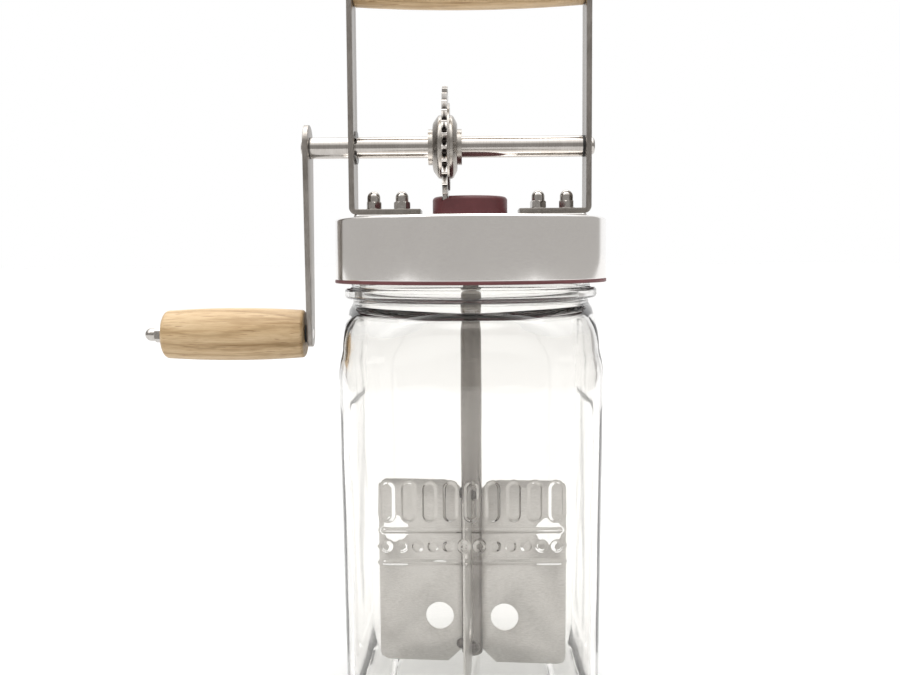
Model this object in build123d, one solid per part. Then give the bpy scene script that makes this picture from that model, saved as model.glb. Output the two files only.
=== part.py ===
from build123d import *
import math
import os

# Hand-cranked glass butter churn, in millimetres.
# +X is to the right of the jar's decorated front, +Y runs from the front to the back, +Z is up.
# The origin is the centre of the jar's base.

# ---------------------------------------------------------------- driving dimensions

# Glass jar: a rounded square bottle with a round neck
JAR_HALF = 70.3             # half the width across the flats, at the shoulder
JAR_CORNER = 30.0           # corner radius at the shoulder
JAR_DRAFT = 0.012           # the sides lean in by this much per millimetre going down
JAR_WALL = 4.0
JAR_FLOOR = 8.0
JAR_HEEL_R = 14.0
JAR_SHOULDER_R = 29.0       # rounding over the jar's corners
JAR_SHOULDER_TOP = 224.3    # height at which the neck leaves the shoulder
NECK_RISE = 41.7            # neck length above the shoulder
NECK_R = 66.5
NECK_WALL = 4.5
BEAD_PROUD = 4.7            # transfer bead under the lid, beyond the neck
BEAD_LOW = 3.1              # bead's underside above the shoulder
BEAD_HIGH = 9.1
THREAD_PROUD = 3.7
THREAD_HEIGHTS = (19.7, 29.7)
THREAD_HALF_HEIGHT = 1.6
LIP_ROUND = 1.4

# Raised panels on the jar's two sides, and the ornament on its front
PANEL_PROUD = 1.2
PANEL_HALF_WIDTH = 42.0
PANEL_LOW = 34.0
PANEL_HIGH = 171.6
PANEL_CORNER = 10.0
ORNAMENT_PROUD = 1.0
ORNAMENT_HALF_WIDTH = 46.0
ORNAMENT_RIB_HEIGHTS = (94.0, 110.7)
ORNAMENT_RIB = 1.8
FLUTE_COUNT = 9
FLUTE_SIZE = (6.4, 20.0)
FLUTE_Z = 125.6
BEAD_COUNT = 12
ORNAMENT_BEAD = 5.0

# Lid: a plastic screw liner inside a stainless shell, with a gasket on the jar's lip
GASKET = 2.4
LINER_PLAY = 2.8            # between the jar's thread and the liner's wall
LINER_WALL = 2.3
LINER_TOP = 2.3
LINER_FLANGE = 1.8
LINER_FLANGE_PROUD = 0.3
SHELL_PLAY = 0.05
SHELL = 0.9
SHELL_EDGE_R = 1.4
SKIRT_DROP = 33.6           # from the shell's rim to its lower edge
DOME_RISE = 1.8             # shell's top falls by this much from the gear cover to its rim
SEAT_RISE = 2.6             # pressed seats under the frame's feet, above the rim
SEAT_MARGIN = 1.6           # seat beyond the foot, all round
SEAT_CORNER = 4.0

# Frame: two bent straps bolted to the lid, with the carrying grip between them
STRAP = 3.0
STRAP_WIDTH = 22.0
STRAP_BEND = 4.0
FRAME_INSET = 8.75          # strap's outer face, in from the lid's edge
FOOT_GAP = 6.4              # between the gear cover and the foot's end
FOOT_HOLES = (13.0, 11.0)   # from the strap's outer face, and from the foot's end
GRIP_RISE = 90.9            # carrying grip's axis above the crank shaft's axis
GRIP_END_MARGIN = 11.0      # strap's top above the carrying grip's axis

# M5 hardware
M5_R = 2.5
M5_HOLE_R = 2.65
NUT_FLATS = 8.0
NUT_HEX = 4.0
NUT_HEIGHT = 10.0
NUT_DOME_R = 3.75
NUT_DEPTH = 8.0
WASHER_R = 5.0
WASHER = 0.5
BOLT_HEAD_R = 4.5
BOLT_HEAD = 2.8

# Crank shaft, its end pieces and its retaining clip
SHAFT_R = 6.0
FIT = 0.05                  # radial clearance of a running fit
SHAFT_OVERHANG = 22.2       # shaft beyond the left strap
JOURNAL_R = 4.0
END_WASHER = 1.3
END_SCREW_R = 5.0
END_SCREW_HEAD = 2.6
ARM_SCREW_R = 4.4
ARM_SCREW_HEAD = 1.9
SCREW_DEPTH = 12.0
ARM_WASHER = 0.5
TENON = 7.0
END_GAP = 0.1
CLIP = 1.0
CLIP_R = 9.2
CLIP_GROOVE = 0.8
CLIP_MOUTH = 9.0
KEY = 3.0

# Crank arm and its turning grip
ARM = 3.0
ARM_TOP_R = 11.0
ARM_TOP_LIFT = 2.0
ARM_END_R = 6.5
CRANK_RADIUS = 105.1
GRIP_LENGTH = 81.0
GRIP_MID_R = 15.0
GRIP_END_R = 13.5
GRIP_ROUND_IN = 2.5
GRIP_ROUND_OUT = 4.5
GRIP_ROD_R = 3.0
GRIP_WASHER = 1.4
TOP_GRIP_END_R = 12.8
TOP_GRIP_ROUND = 2.0

# Gears: a toothed wheel on the crank shaft turns a crown pinion on the paddle shaft
MODULE = 2.1
WHEEL_TEETH = 30
PINION_TEETH = 13
WHEEL = 3.0
WHEEL_ADDENDUM = 1.0        # in modules
WHEEL_DEDENDUM = 1.24
CROWN_ADDENDUM = 0.52
CROWN_DEDENDUM = 1.19
TOOTH_AT_PITCH = 0.62       # half thickness, in modules
TOOTH_AT_TIP = 0.28
CROWN_AT_TIP = 0.33
CROWN_AT_ROOT = 0.69
CROWN_FACE = (2.35, 2.35)   # crown teeth reach this far in and out from the pitch circle
CROWN_DISC = 2.2
BACKING = 1.0
BACKING_R = 24.3
HUB_R = 17.7
HUB_FLAT_R = 13.0
HUB_DEPTHS = (5.6, 4.2)     # pressed hub shells, left and right of the wheel
HUB_SHEET = 1.0
FLANGE_R = 10.0
FLANGE = 2.5

# Gear cover and the paddle's bearing in the lid
COVER_WALL = 2.0
COVER_ROOF = 1.2
COVER_PLAY = 3.1            # between the pinion and the cover's wall
COVER_HEADROOM = 1.1
COVER_ROUND = 2.2
COVER_FLANGE = 1.6
COVER_FLANGE_PROUD = 4.9
SLOT_PLAY = 0.35
BUSH_FLANGE_R = 10.0
BUSH_FLANGE = 1.0
BUSH_R = 7.0
BUSH_DROP = 4.2             # bush below the liner's underside
THRUST_WASHER = 0.8
THRUST_WASHER_R = 9.0
PINION_HUB_R = 8.0
PINION_PIN_R = 1.0
PITCH_LINE_RISE = 6.4       # gears' pitch line above the seats

# Paddle
PADDLE_SHAFT_R = 6.0
PADDLE_JOURNAL_R = 4.6
PADDLE_STEP_DROP = 35.0     # shaft's shoulder below the jar's lip
SNAP_RING = 1.0
SNAP_RING_R = 6.4
SNAP_GROOVE = 0.8
PADDLE_TURN = -4.4          # degrees that the blades stand off the jar's flats at rest
BLADES = 4
BLADE = 1.2
BLADE_HEIGHT = 107.8
BLADE_FLOOR_GAP = 6.4
PADDLE_NECK_GAP = 7.0       # between the blades' tips and the neck's bore
BLADE_CORNER = 4.8
BLADE_LOW_CUT = (8.0, 8.0)
BLADE_TOP_CUT = (9.0, 5.0)
BLADE_HOLE_R = 8.0
BLADE_HOLES = ((10.0, 29.5), (12.9, 27.0))   # upper: from tip and top; lower: from shaft and bottom
SHAFT_END_RISE = 5.0        # shaft's lower end above the blades' lower edge
WELD_R = 2.8

# ---------------------------------------------------------------- derived places

LIP_Z = JAR_SHOULDER_TOP + NECK_RISE
NECK_BORE_R = NECK_R - NECK_WALL
FINISH_R = NECK_R + 1.0
BEAD_R = NECK_R + BEAD_PROUD
THREAD_R = NECK_R + THREAD_PROUD
JAR_DIAGONAL = (JAR_HALF - JAR_CORNER) * math.sqrt(2) + JAR_CORNER

LINER_R = THREAD_R + LINER_PLAY + LINER_WALL
LID_R = LINER_R + SHELL_PLAY + SHELL
LINER_UNDER_Z = LIP_Z + GASKET
RIM_Z = LINER_UNDER_Z + LINER_TOP + SHELL
DOME_Z = RIM_Z + DOME_RISE
SEAT_Z = RIM_Z + SEAT_RISE
LINER_DISC_Z = DOME_Z - SHELL
SKIRT_Z = RIM_Z - SKIRT_DROP

FRAME_OUT = LID_R - FRAME_INSET
FRAME_IN = FRAME_OUT - STRAP

WHEEL_PITCH_R = MODULE * WHEEL_TEETH / 2
WHEEL_TIP_R = WHEEL_PITCH_R + WHEEL_ADDENDUM * MODULE
PINION_PITCH_R = MODULE * PINION_TEETH / 2
PITCH_LINE_Z = SEAT_Z + PITCH_LINE_RISE
SHAFT_Z = PITCH_LINE_Z + WHEEL_PITCH_R
TOP_GRIP_Z = SHAFT_Z + GRIP_RISE
WHEEL_X = (-PINION_PITCH_R - WHEEL / 2, -PINION_PITCH_R + WHEEL / 2)
BACKING_X = WHEEL_X[1] + BACKING
HUB_LEFT_X = WHEEL_X[0] - HUB_DEPTHS[0]
HUB_RIGHT_X = BACKING_X + HUB_DEPTHS[1]

SHAFT_LEFT_X = -FRAME_OUT - SHAFT_OVERHANG
SHAFT_RIGHT_X = FRAME_IN - END_WASHER
ARM_IN_X = SHAFT_LEFT_X - ARM_WASHER
ARM_OUT_X = ARM_IN_X - ARM
CRANK_GRIP_Z = SHAFT_Z - CRANK_RADIUS
GRIP_IN_X = ARM_OUT_X - GRIP_WASHER - END_GAP
GRIP_OUT_X = GRIP_IN_X - GRIP_LENGTH
ROD_SHOULDER_X = GRIP_OUT_X - END_GAP
CLIP_X = (-FRAME_IN + END_GAP, -FRAME_IN + END_GAP + CLIP)

CROWN_TIP_Z = PITCH_LINE_Z + CROWN_ADDENDUM * MODULE
CROWN_ROOT_Z = PITCH_LINE_Z - CROWN_DEDENDUM * MODULE
CROWN_IN_R = PINION_PITCH_R - CROWN_FACE[0]
CROWN_OUT_R = PINION_PITCH_R + CROWN_FACE[1]
COVER_IN_R = CROWN_OUT_R + COVER_PLAY
COVER_R = COVER_IN_R + COVER_WALL
FOOT_X = COVER_R + FOOT_GAP
COVER_TOP_Z = CROWN_TIP_Z + COVER_HEADROOM + COVER_ROOF
COVER_BASE_Z = LINER_DISC_Z - COVER_FLANGE
COVER_FLANGE_R = COVER_R + COVER_FLANGE_PROUD
BUSH_TOP_Z = COVER_BASE_Z + BUSH_FLANGE
BUSH_LOW_Z = LINER_UNDER_Z - BUSH_DROP
PINION_LOW_Z = BUSH_TOP_Z + THRUST_WASHER
PADDLE_TOP_Z = CROWN_TIP_Z - 0.7
PINION_PIN_Z = CROWN_ROOT_Z + 1.5
SNAP_TOP_Z = BUSH_LOW_Z - 0.2

BLADE_LOW_Z = JAR_FLOOR + BLADE_FLOOR_GAP
BLADE_TOP_Z = BLADE_LOW_Z + BLADE_HEIGHT
BLADE_TIP_R = NECK_BORE_R - PADDLE_NECK_GAP
PADDLE_LOW_Z = BLADE_LOW_Z + SHAFT_END_RISE

BOLT_PLACES = [side * x for side in (-1, 1) for x in (FRAME_OUT - FOOT_HOLES[0], FOOT_X + FOOT_HOLES[1])]


# ---------------------------------------------------------------- shape helpers

def turned(corners, axis=Axis.Z):
    """Solid turned from its half section. A corner is (radius, height) or (radius, height, rounding)."""
    flip = axis == Axis.X
    points = [(c[1], 0, c[0]) if flip else (c[0], 0, c[1]) for c in corners]
    radii = [c[2] if len(c) > 2 else 0 for c in corners]
    return revolve(make_face(FilletPolyline(*points, radius=radii, close=True)), axis)


def post(r, z0, z1):
    return Pos(0, 0, (z0 + z1) / 2) * Cylinder(r, z1 - z0)


def tube(r_out, r_in, z0, z1):
    return post(r_out, z0, z1) - post(r_in, z0 - 1, z1 + 1)


def rod(r, x0, x1):
    return Pos((x0 + x1) / 2, 0, 0) * Rot(0, 90, 0) * Cylinder(r, x1 - x0)


def ring(r_out, r_in, x0, x1):
    return rod(r_out, x0, x1) - rod(r_in, x0 - 1, x1 + 1)


def bar(x0, x1, y0, y1, z0, z1):
    middle = ((x0 + x1) / 2, (y0 + y1) / 2, (z0 + z1) / 2)
    return Pos(*middle) * Box(x1 - x0, y1 - y0, z1 - z0)


def group(solids):
    return Compound(children=list(solids))


def on_shaft(solid):
    """Lifts a piece built round the X axis up to the crank shaft's axis."""
    return Pos(0, 0, SHAFT_Z) * solid


def cap_nut():
    """M5 domed nut standing on z = 0, with its thread opening downwards."""
    corner_r = NUT_FLATS / math.sqrt(3)
    hexagon = extrude(RegularPolygon(NUT_FLATS / 2, 6, major_radius=False), NUT_HEX)
    bevel = turned([(0, 0), (corner_r, 0), (corner_r, NUT_HEX - 0.5), (NUT_DOME_R + 0.2, NUT_HEX), (0, NUT_HEX)])
    dome = turned([(0, 0), (NUT_DOME_R, 0), (NUT_DOME_R, NUT_HEIGHT, NUT_DOME_R - 0.05), (0, NUT_HEIGHT)])
    return (hexagon & bevel) + dome - post(M5_R, -1, NUT_DEPTH)


def button_screw(head_r, head):
    """M5 screw whose domed head stands on z = 0 and whose shank hangs below it, with a hex socket."""
    body = turned([(0, -SCREW_DEPTH), (M5_R, -SCREW_DEPTH), (M5_R, 0), (head_r, 0), (head_r, head, head * 0.8), (0, head)])
    socket = Pos(0, 0, head / 2) * extrude(RegularPolygon(1.5, 6, major_radius=False), head)
    return body - socket


def barrel(length, mid_r, end_r, bore_r, round_low, round_high):
    """Wooden grip along +X from x = 0, fullest at mid length and bored through."""
    crown = ThreePointArc((0, 0, end_r), (length / 2, 0, mid_r), (length, 0, end_r))
    sides = Polyline((length, 0, end_r), (length, 0, bore_r), (0, 0, bore_r), (0, 0, end_r))
    grip = revolve(make_face(crown + sides), Axis.X)
    for x, rounding in ((0, round_low), (length, round_high)):
        rims = grip.edges().filter_by(GeomType.CIRCLE).filter_by_position(Axis.X, x - 0.01, x + 0.01)
        grip = fillet(rims.sort_by(SortBy.RADIUS)[-1], rounding)
    return grip


# ---------------------------------------------------------------- jar

def jar_block(z0, z1, inset):
    """Block that follows the jar's flats and corners, set in from its outside."""
    sections = []
    for z in (z0, z1):
        lean = JAR_DRAFT * (JAR_SHOULDER_TOP - JAR_SHOULDER_R - z) + inset
        side = 2 * (JAR_HALF - lean)
        sections.append(Pos(0, 0, z) * RectangleRounded(side, side, JAR_CORNER - lean))
    return loft(sections, ruled=True)


def rounded_block(z0, z1, inset, heel, shoulder):
    """The block with a rounded heel, its four corners rounded over into a dome under the neck."""
    block = jar_block(z0, z1, inset)
    block = fillet(block.faces().sort_by(Axis.Z)[0].edges(), heel)
    corner_r = JAR_DIAGONAL - inset
    return block & turned([(0, z0 - 1), (corner_r, z0 - 1), (corner_r, z1, shoulder), (0, z1)])


def raised(outlines, proud, plane):
    """Pads on one side of the jar, cut to a skin that stands proud of it."""
    skin = jar_block(1, LIP_Z, -proud) - jar_block(0, LIP_Z + 1, JAR_WALL / 2)
    return extrude(plane * outlines, JAR_HALF + 10) & skin


def ornament():
    """Nine upright flutes over a row of round beads between two ribs."""
    marks = Sketch()
    for height in ORNAMENT_RIB_HEIGHTS:
        marks += Pos(0, height) * SlotOverall(2 * ORNAMENT_HALF_WIDTH, ORNAMENT_RIB)
    flute_step = (2 * ORNAMENT_HALF_WIDTH - FLUTE_SIZE[0]) / (FLUTE_COUNT - 1)
    for i in range(FLUTE_COUNT):
        x = -ORNAMENT_HALF_WIDTH + FLUTE_SIZE[0] / 2 + i * flute_step
        marks += Pos(x, FLUTE_Z) * SlotOverall(FLUTE_SIZE[1], FLUTE_SIZE[0], rotation=90)
    bead_step = (2 * ORNAMENT_HALF_WIDTH - ORNAMENT_BEAD) / (BEAD_COUNT - 1)
    for i in range(BEAD_COUNT):
        x = -ORNAMENT_HALF_WIDTH + ORNAMENT_BEAD / 2 + i * bead_step
        marks += Pos(x, sum(ORNAMENT_RIB_HEIGHTS) / 2) * Circle(ORNAMENT_BEAD / 2)
    return marks


def glass_jar():
    outside = rounded_block(0, JAR_SHOULDER_TOP, 0, JAR_HEEL_R, JAR_SHOULDER_R)
    inside = rounded_block(
        JAR_FLOOR, JAR_SHOULDER_TOP - JAR_WALL, JAR_WALL, JAR_HEEL_R - JAR_WALL / 2, JAR_SHOULDER_R - JAR_WALL
    )
    base = JAR_SHOULDER_TOP
    neck = [(0, base - JAR_SHOULDER_R), (NECK_R, base - JAR_SHOULDER_R), (NECK_R, base + BEAD_LOW)]
    neck += [(BEAD_R, base + BEAD_LOW, 2.2), (BEAD_R, base + BEAD_HIGH, 2.2), (FINISH_R, base + BEAD_HIGH)]
    neck += [(FINISH_R, LIP_Z, LIP_ROUND), (0, LIP_Z)]
    outside += turned(neck)
    for height in THREAD_HEIGHTS:
        low = base + height - THREAD_HALF_HEIGHT
        high = base + height + THREAD_HALF_HEIGHT
        outside += turned([(FINISH_R - 1, low - 0.8), (THREAD_R, low + 0.8), (THREAD_R, high - 0.8), (FINISH_R - 1, high + 0.8)])
    panel = Pos(0, (PANEL_LOW + PANEL_HIGH) / 2)
    panel *= RectangleRounded(2 * PANEL_HALF_WIDTH, PANEL_HIGH - PANEL_LOW, PANEL_CORNER)
    outside += raised(panel, PANEL_PROUD, Plane.YZ)
    outside += raised(panel, PANEL_PROUD, Plane.YZ.rotated((0, 0, 180)))
    outside += raised(ornament(), ORNAMENT_PROUD, Plane.XZ)
    return outside - inside - post(NECK_BORE_R, base - JAR_SHOULDER_R, LIP_Z + 1)


# ---------------------------------------------------------------- lid

def bolt_holes():
    return [Pos(x, 0, 0) * post(M5_HOLE_R, LIP_Z - 5, SEAT_Z + 10) for x in BOLT_PLACES]


def lid_top(inset, low_z, side_play=0.0):
    """Solid under the lid's domed top and its two pressed seats, set in from the shell's outside."""
    rim_r = LID_R - inset - side_play
    section = [(0, low_z), (rim_r, low_z), (rim_r, RIM_Z - inset, max(SHELL_EDGE_R - inset, 0.4))]
    section += [(COVER_FLANGE_R + 1, DOME_Z - inset), (0, DOME_Z - inset)]
    top = turned(section)
    flat_foot = FRAME_OUT - STRAP_BEND - FOOT_X
    margin = 2 * (SEAT_MARGIN - inset - side_play)
    seat = RectangleRounded(flat_foot + margin, STRAP_WIDTH + margin, SEAT_CORNER - inset)
    for side in (-1, 1):
        top += Pos(side * (FOOT_X + flat_foot / 2), 0, low_z) * extrude(seat, SEAT_Z - inset - low_z)
    return top


def lid_shell():
    shell = lid_top(0, SKIRT_Z) - lid_top(SHELL, SKIRT_Z - 1)
    return shell - post(COVER_R, LIP_Z, SEAT_Z + 1) - bolt_holes()


def lid_liner():
    wall_in = LINER_R - LINER_WALL
    flange_r = LID_R + LINER_FLANGE_PROUD
    flange_z = SKIRT_Z - LINER_FLANGE
    liner = lid_top(SHELL, SKIRT_Z, SHELL_PLAY)
    liner += turned([(0, flange_z), (flange_r, flange_z, 0.5), (flange_r, SKIRT_Z, 0.5), (0, SKIRT_Z)])
    liner -= turned([(0, flange_z - 1), (wall_in, flange_z - 1), (wall_in, LINER_UNDER_Z, 1), (0, LINER_UNDER_Z)])
    liner -= post(COVER_FLANGE_R, COVER_BASE_Z, SEAT_Z + 1)
    return liner - post(BUSH_R, LIP_Z, COVER_BASE_Z + 1) - bolt_holes()


def gear_cover():
    section = [(COVER_IN_R, COVER_BASE_Z), (COVER_FLANGE_R, COVER_BASE_Z), (COVER_FLANGE_R, LINER_DISC_Z)]
    section += [(COVER_R, LINER_DISC_Z), (COVER_R, COVER_TOP_Z, COVER_ROUND), (0, COVER_TOP_Z)]
    section += [(0, COVER_TOP_Z - COVER_ROOF), (COVER_IN_R, COVER_TOP_Z - COVER_ROOF)]
    slot = rod(WHEEL_TIP_R + SLOT_PLAY, WHEEL_X[0] - SLOT_PLAY, WHEEL_X[1] + SLOT_PLAY)
    return turned(section) - on_shaft(slot)


def strap():
    """Right-hand strap: foot on the lid, bend, upright and rounded top."""
    top_z = TOP_GRIP_Z + GRIP_END_MARGIN
    corners = [(FOOT_X, SEAT_Z), (FRAME_OUT, SEAT_Z), (FRAME_OUT, top_z)]
    corners += [(FRAME_IN, top_z), (FRAME_IN, SEAT_Z + STRAP), (FOOT_X, SEAT_Z + STRAP)]
    radii = [0, STRAP_BEND, 0, 0, STRAP_BEND - STRAP, 0]
    outline = FilletPolyline(*[(x, 0, z) for x, z in corners], radius=radii, close=True)
    bent = extrude(make_face(outline), STRAP_WIDTH / 2, both=True)
    end_z = top_z - STRAP_WIDTH / 2
    rounding = rod(STRAP_WIDTH / 2, FOOT_X, FRAME_OUT + 1)
    crown = bar(FOOT_X, FRAME_OUT + 1, -STRAP_WIDTH / 2, STRAP_WIDTH / 2, end_z, top_z + 1)
    bent -= crown - Pos(0, 0, end_z) * rounding
    bent -= bolt_holes()
    return bent - Pos(0, 0, TOP_GRIP_Z) * rod(M5_HOLE_R, FRAME_IN - 1, FRAME_OUT + 1)


def frame_right():
    return strap() - on_shaft(rod(JOURNAL_R + FIT, FRAME_IN - 1, FRAME_OUT + 1))


def frame_left():
    return mirror(strap(), Plane.YZ) - on_shaft(rod(SHAFT_R + FIT, -FRAME_OUT - 1, -FRAME_IN + 1))


def frame_bolts():
    head_z = LINER_UNDER_Z
    tip_z = SEAT_Z + STRAP + WASHER + NUT_DEPTH - 0.6
    section = [(0, head_z - BOLT_HEAD), (BOLT_HEAD_R, head_z - BOLT_HEAD, 1.2), (BOLT_HEAD_R, head_z)]
    section += [(M5_R, head_z), (M5_R, tip_z), (0, tip_z)]
    return group(Pos(x, 0, 0) * turned(section) for x in BOLT_PLACES)


def frame_washers():
    low = SEAT_Z + STRAP
    return group(Pos(x, 0, 0) * tube(WASHER_R, M5_R, low, low + WASHER) for x in BOLT_PLACES)


def frame_cap_nuts():
    low = SEAT_Z + STRAP + WASHER
    return group(Pos(x, 0, low) * Rot(0, 0, 20 * i) * cap_nut() for i, x in enumerate(BOLT_PLACES))


def top_grip():
    grip = barrel(2 * FRAME_IN, GRIP_MID_R, TOP_GRIP_END_R, M5_R, TOP_GRIP_ROUND, TOP_GRIP_ROUND)
    return Pos(-FRAME_IN, 0, TOP_GRIP_Z) * grip


def top_grip_rod():
    end = FRAME_OUT + NUT_DEPTH - 0.6
    return Pos(0, 0, TOP_GRIP_Z) * rod(M5_R, -end, end)


def top_grip_nuts():
    right = Pos(FRAME_OUT, 0, TOP_GRIP_Z) * Rot(0, 90, 0) * cap_nut()
    left = Pos(-FRAME_OUT, 0, TOP_GRIP_Z) * Rot(0, -90, 0) * cap_nut()
    return group([left, right])


# ---------------------------------------------------------------- crank

def key_slot(play):
    """Parallel key on top of the shaft, through the wheel and its flanges."""
    half = KEY / 2 + play
    return bar(HUB_LEFT_X - FLANGE, HUB_RIGHT_X + FLANGE, -half, half, SHAFT_R - KEY / 2, SHAFT_R + KEY / 2)


def crank_shaft():
    shaft = rod(SHAFT_R, SHAFT_LEFT_X, SHAFT_RIGHT_X) + rod(JOURNAL_R, SHAFT_RIGHT_X, FRAME_OUT + END_GAP)
    shaft += bar(ARM_OUT_X + 0.3, SHAFT_LEFT_X, -TENON / 2, TENON / 2, -TENON / 2, TENON / 2)
    shaft -= ring(SHAFT_R + 1, SHAFT_R - CLIP_GROOVE, *CLIP_X)
    shaft -= rod(M5_R, FRAME_OUT + END_GAP - SCREW_DEPTH, FRAME_OUT + 1)
    shaft -= rod(M5_R, ARM_OUT_X - 1, ARM_OUT_X + SCREW_DEPTH)
    return on_shaft(shaft - key_slot(0))


def retaining_clip():
    clip = ring(CLIP_R, SHAFT_R - CLIP_GROOVE, *CLIP_X)
    mouth = bar(CLIP_X[0] - 1, CLIP_X[1] + 1, -CLIP_R - 1, 0, -CLIP_MOUTH / 2, CLIP_MOUTH / 2)
    return on_shaft(clip - mouth)


def crank_arm():
    top = Pos(0, SHAFT_Z + ARM_TOP_LIFT) * Circle(ARM_TOP_R)
    end = Pos(0, CRANK_GRIP_Z - ARM_TOP_LIFT / 2) * Circle(ARM_END_R)
    blank = make_hull(top.edges() + end.edges())
    arm = Pos(ARM_OUT_X, 0, 0) * extrude(Plane.YZ * blank, ARM)
    tenon = bar(ARM_OUT_X - 1, ARM_IN_X + 1, -TENON / 2, TENON / 2, -TENON / 2, TENON / 2)
    arm -= on_shaft(tenon & bar(ARM_OUT_X + 0.3, ARM_IN_X + 1, -TENON, TENON, -TENON, TENON))
    arm -= on_shaft(rod(M5_R, ARM_OUT_X - 1, ARM_IN_X))
    return arm - Pos(0, 0, CRANK_GRIP_Z) * rod(GRIP_ROD_R, ARM_OUT_X - 1, ARM_IN_X + 1)


def arm_washer():
    hole = bar(ARM_IN_X - 1, SHAFT_LEFT_X + 1, -TENON / 2, TENON / 2, -TENON / 2, TENON / 2)
    return on_shaft(rod(SHAFT_R, ARM_IN_X, SHAFT_LEFT_X) - hole)


def arm_screw():
    return Pos(ARM_OUT_X, 0, SHAFT_Z) * Rot(0, -90, 0) * button_screw(ARM_SCREW_R, ARM_SCREW_HEAD)


def shaft_end_screw():
    return Pos(FRAME_OUT + END_GAP, 0, SHAFT_Z) * Rot(0, 90, 0) * button_screw(END_SCREW_R, END_SCREW_HEAD)


def shaft_end_washer():
    return on_shaft(ring(SHAFT_R, JOURNAL_R, SHAFT_RIGHT_X, FRAME_IN))


def drive_wheel():
    """Flat wheel whose tooth points down at rest."""
    root_r = WHEEL_PITCH_R - WHEEL_DEDENDUM * MODULE
    tip_half = TOOTH_AT_TIP * MODULE
    flare = (TOOTH_AT_PITCH - TOOTH_AT_TIP) / WHEEL_ADDENDUM
    root_half = (TOOTH_AT_PITCH + flare * WHEEL_DEDENDUM) * MODULE
    points = []
    for i in range(WHEEL_TEETH):
        middle = -math.pi / 2 + i * 2 * math.pi / WHEEL_TEETH
        for r, half in ((root_r, -root_half), (WHEEL_TIP_R, -tip_half), (WHEEL_TIP_R, tip_half), (root_r, root_half)):
            angle = middle + math.asin(half / r)
            points.append((r * math.cos(angle), r * math.sin(angle)))
    blank = make_face(Polyline(*points, close=True))
    wheel = Pos(WHEEL_X[0], 0, 0) * extrude(Plane.YZ * blank, WHEEL)
    wheel -= rod(SHAFT_R, WHEEL_X[0] - 1, WHEEL_X[1] + 1)
    return on_shaft(wheel - key_slot(0))


def wheel_backing():
    return on_shaft(ring(BACKING_R, SHAFT_R, WHEEL_X[1], BACKING_X) - key_slot(0))


def hub_shell(face_x, out_x):
    """Pressed dome whose rim lies on the wheel at face_x and whose flat is at out_x."""
    side = math.copysign(1, out_x - face_x)
    rise = abs(out_x - face_x)
    section = [(HUB_R, 0), (HUB_R, rise * 0.4, 2), (HUB_FLAT_R, rise, 4), (SHAFT_R, rise)]
    section += [(SHAFT_R, rise - HUB_SHEET), (HUB_FLAT_R - 0.4, rise - HUB_SHEET, 3)]
    section += [(HUB_R - HUB_SHEET, rise * 0.4 - 0.3, 0.8), (HUB_R - HUB_SHEET, 0)]
    return turned([(c[0], face_x + side * c[1], *c[2:]) for c in section], Axis.X)


def hub_shell_left():
    return on_shaft(hub_shell(WHEEL_X[0], HUB_LEFT_X) - key_slot(0))


def hub_shell_right():
    return on_shaft(hub_shell(BACKING_X, HUB_RIGHT_X) - key_slot(0))


def hub_flange_left():
    return on_shaft(ring(FLANGE_R, SHAFT_R, HUB_LEFT_X - FLANGE, HUB_LEFT_X) - key_slot(0))


def hub_flange_right():
    return on_shaft(ring(FLANGE_R, SHAFT_R, HUB_RIGHT_X, HUB_RIGHT_X + FLANGE) - key_slot(0))


def at_crank_grip(solid):
    return Pos(0, 0, CRANK_GRIP_Z) * solid


def grip_rod():
    thread = rod(M5_R, ROD_SHOULDER_X - GRIP_WASHER - NUT_DEPTH + 0.6, ROD_SHOULDER_X)
    return at_crank_grip(rod(GRIP_ROD_R, ROD_SHOULDER_X, ARM_IN_X) + thread)


def grip_inner_washer():
    return at_crank_grip(ring(WASHER_R, GRIP_ROD_R, GRIP_IN_X + END_GAP, ARM_OUT_X))


def grip_outer_washer():
    return at_crank_grip(ring(WASHER_R, M5_R, ROD_SHOULDER_X - GRIP_WASHER, ROD_SHOULDER_X))


def grip_cap_nut():
    return at_crank_grip(Pos(ROD_SHOULDER_X - GRIP_WASHER, 0, 0) * Rot(0, -90, 0) * cap_nut())


def crank_grip():
    grip = barrel(GRIP_LENGTH, GRIP_MID_R, GRIP_END_R, GRIP_ROD_R + FIT, GRIP_ROUND_OUT, GRIP_ROUND_IN)
    return at_crank_grip(Pos(GRIP_OUT_X, 0, 0) * grip)


# ---------------------------------------------------------------- paddle

def paddle_shaft():
    step_z = LIP_Z - PADDLE_STEP_DROP
    section = [(0, PADDLE_LOW_Z), (PADDLE_SHAFT_R, PADDLE_LOW_Z, 1.5), (PADDLE_SHAFT_R, step_z, 0.6)]
    section += [(PADDLE_JOURNAL_R, step_z), (PADDLE_JOURNAL_R, PADDLE_TOP_Z), (0, PADDLE_TOP_Z)]
    shaft = turned(section)
    shaft -= tube(PADDLE_SHAFT_R, PADDLE_JOURNAL_R - SNAP_GROOVE, SNAP_TOP_Z - SNAP_RING, SNAP_TOP_Z)
    return shaft - cross_pin_hole()


def cross_pin_hole():
    return Pos(0, 0, PINION_PIN_Z) * Rot(90, 0, 0) * Cylinder(PINION_PIN_R, 4 * PINION_HUB_R)


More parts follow.
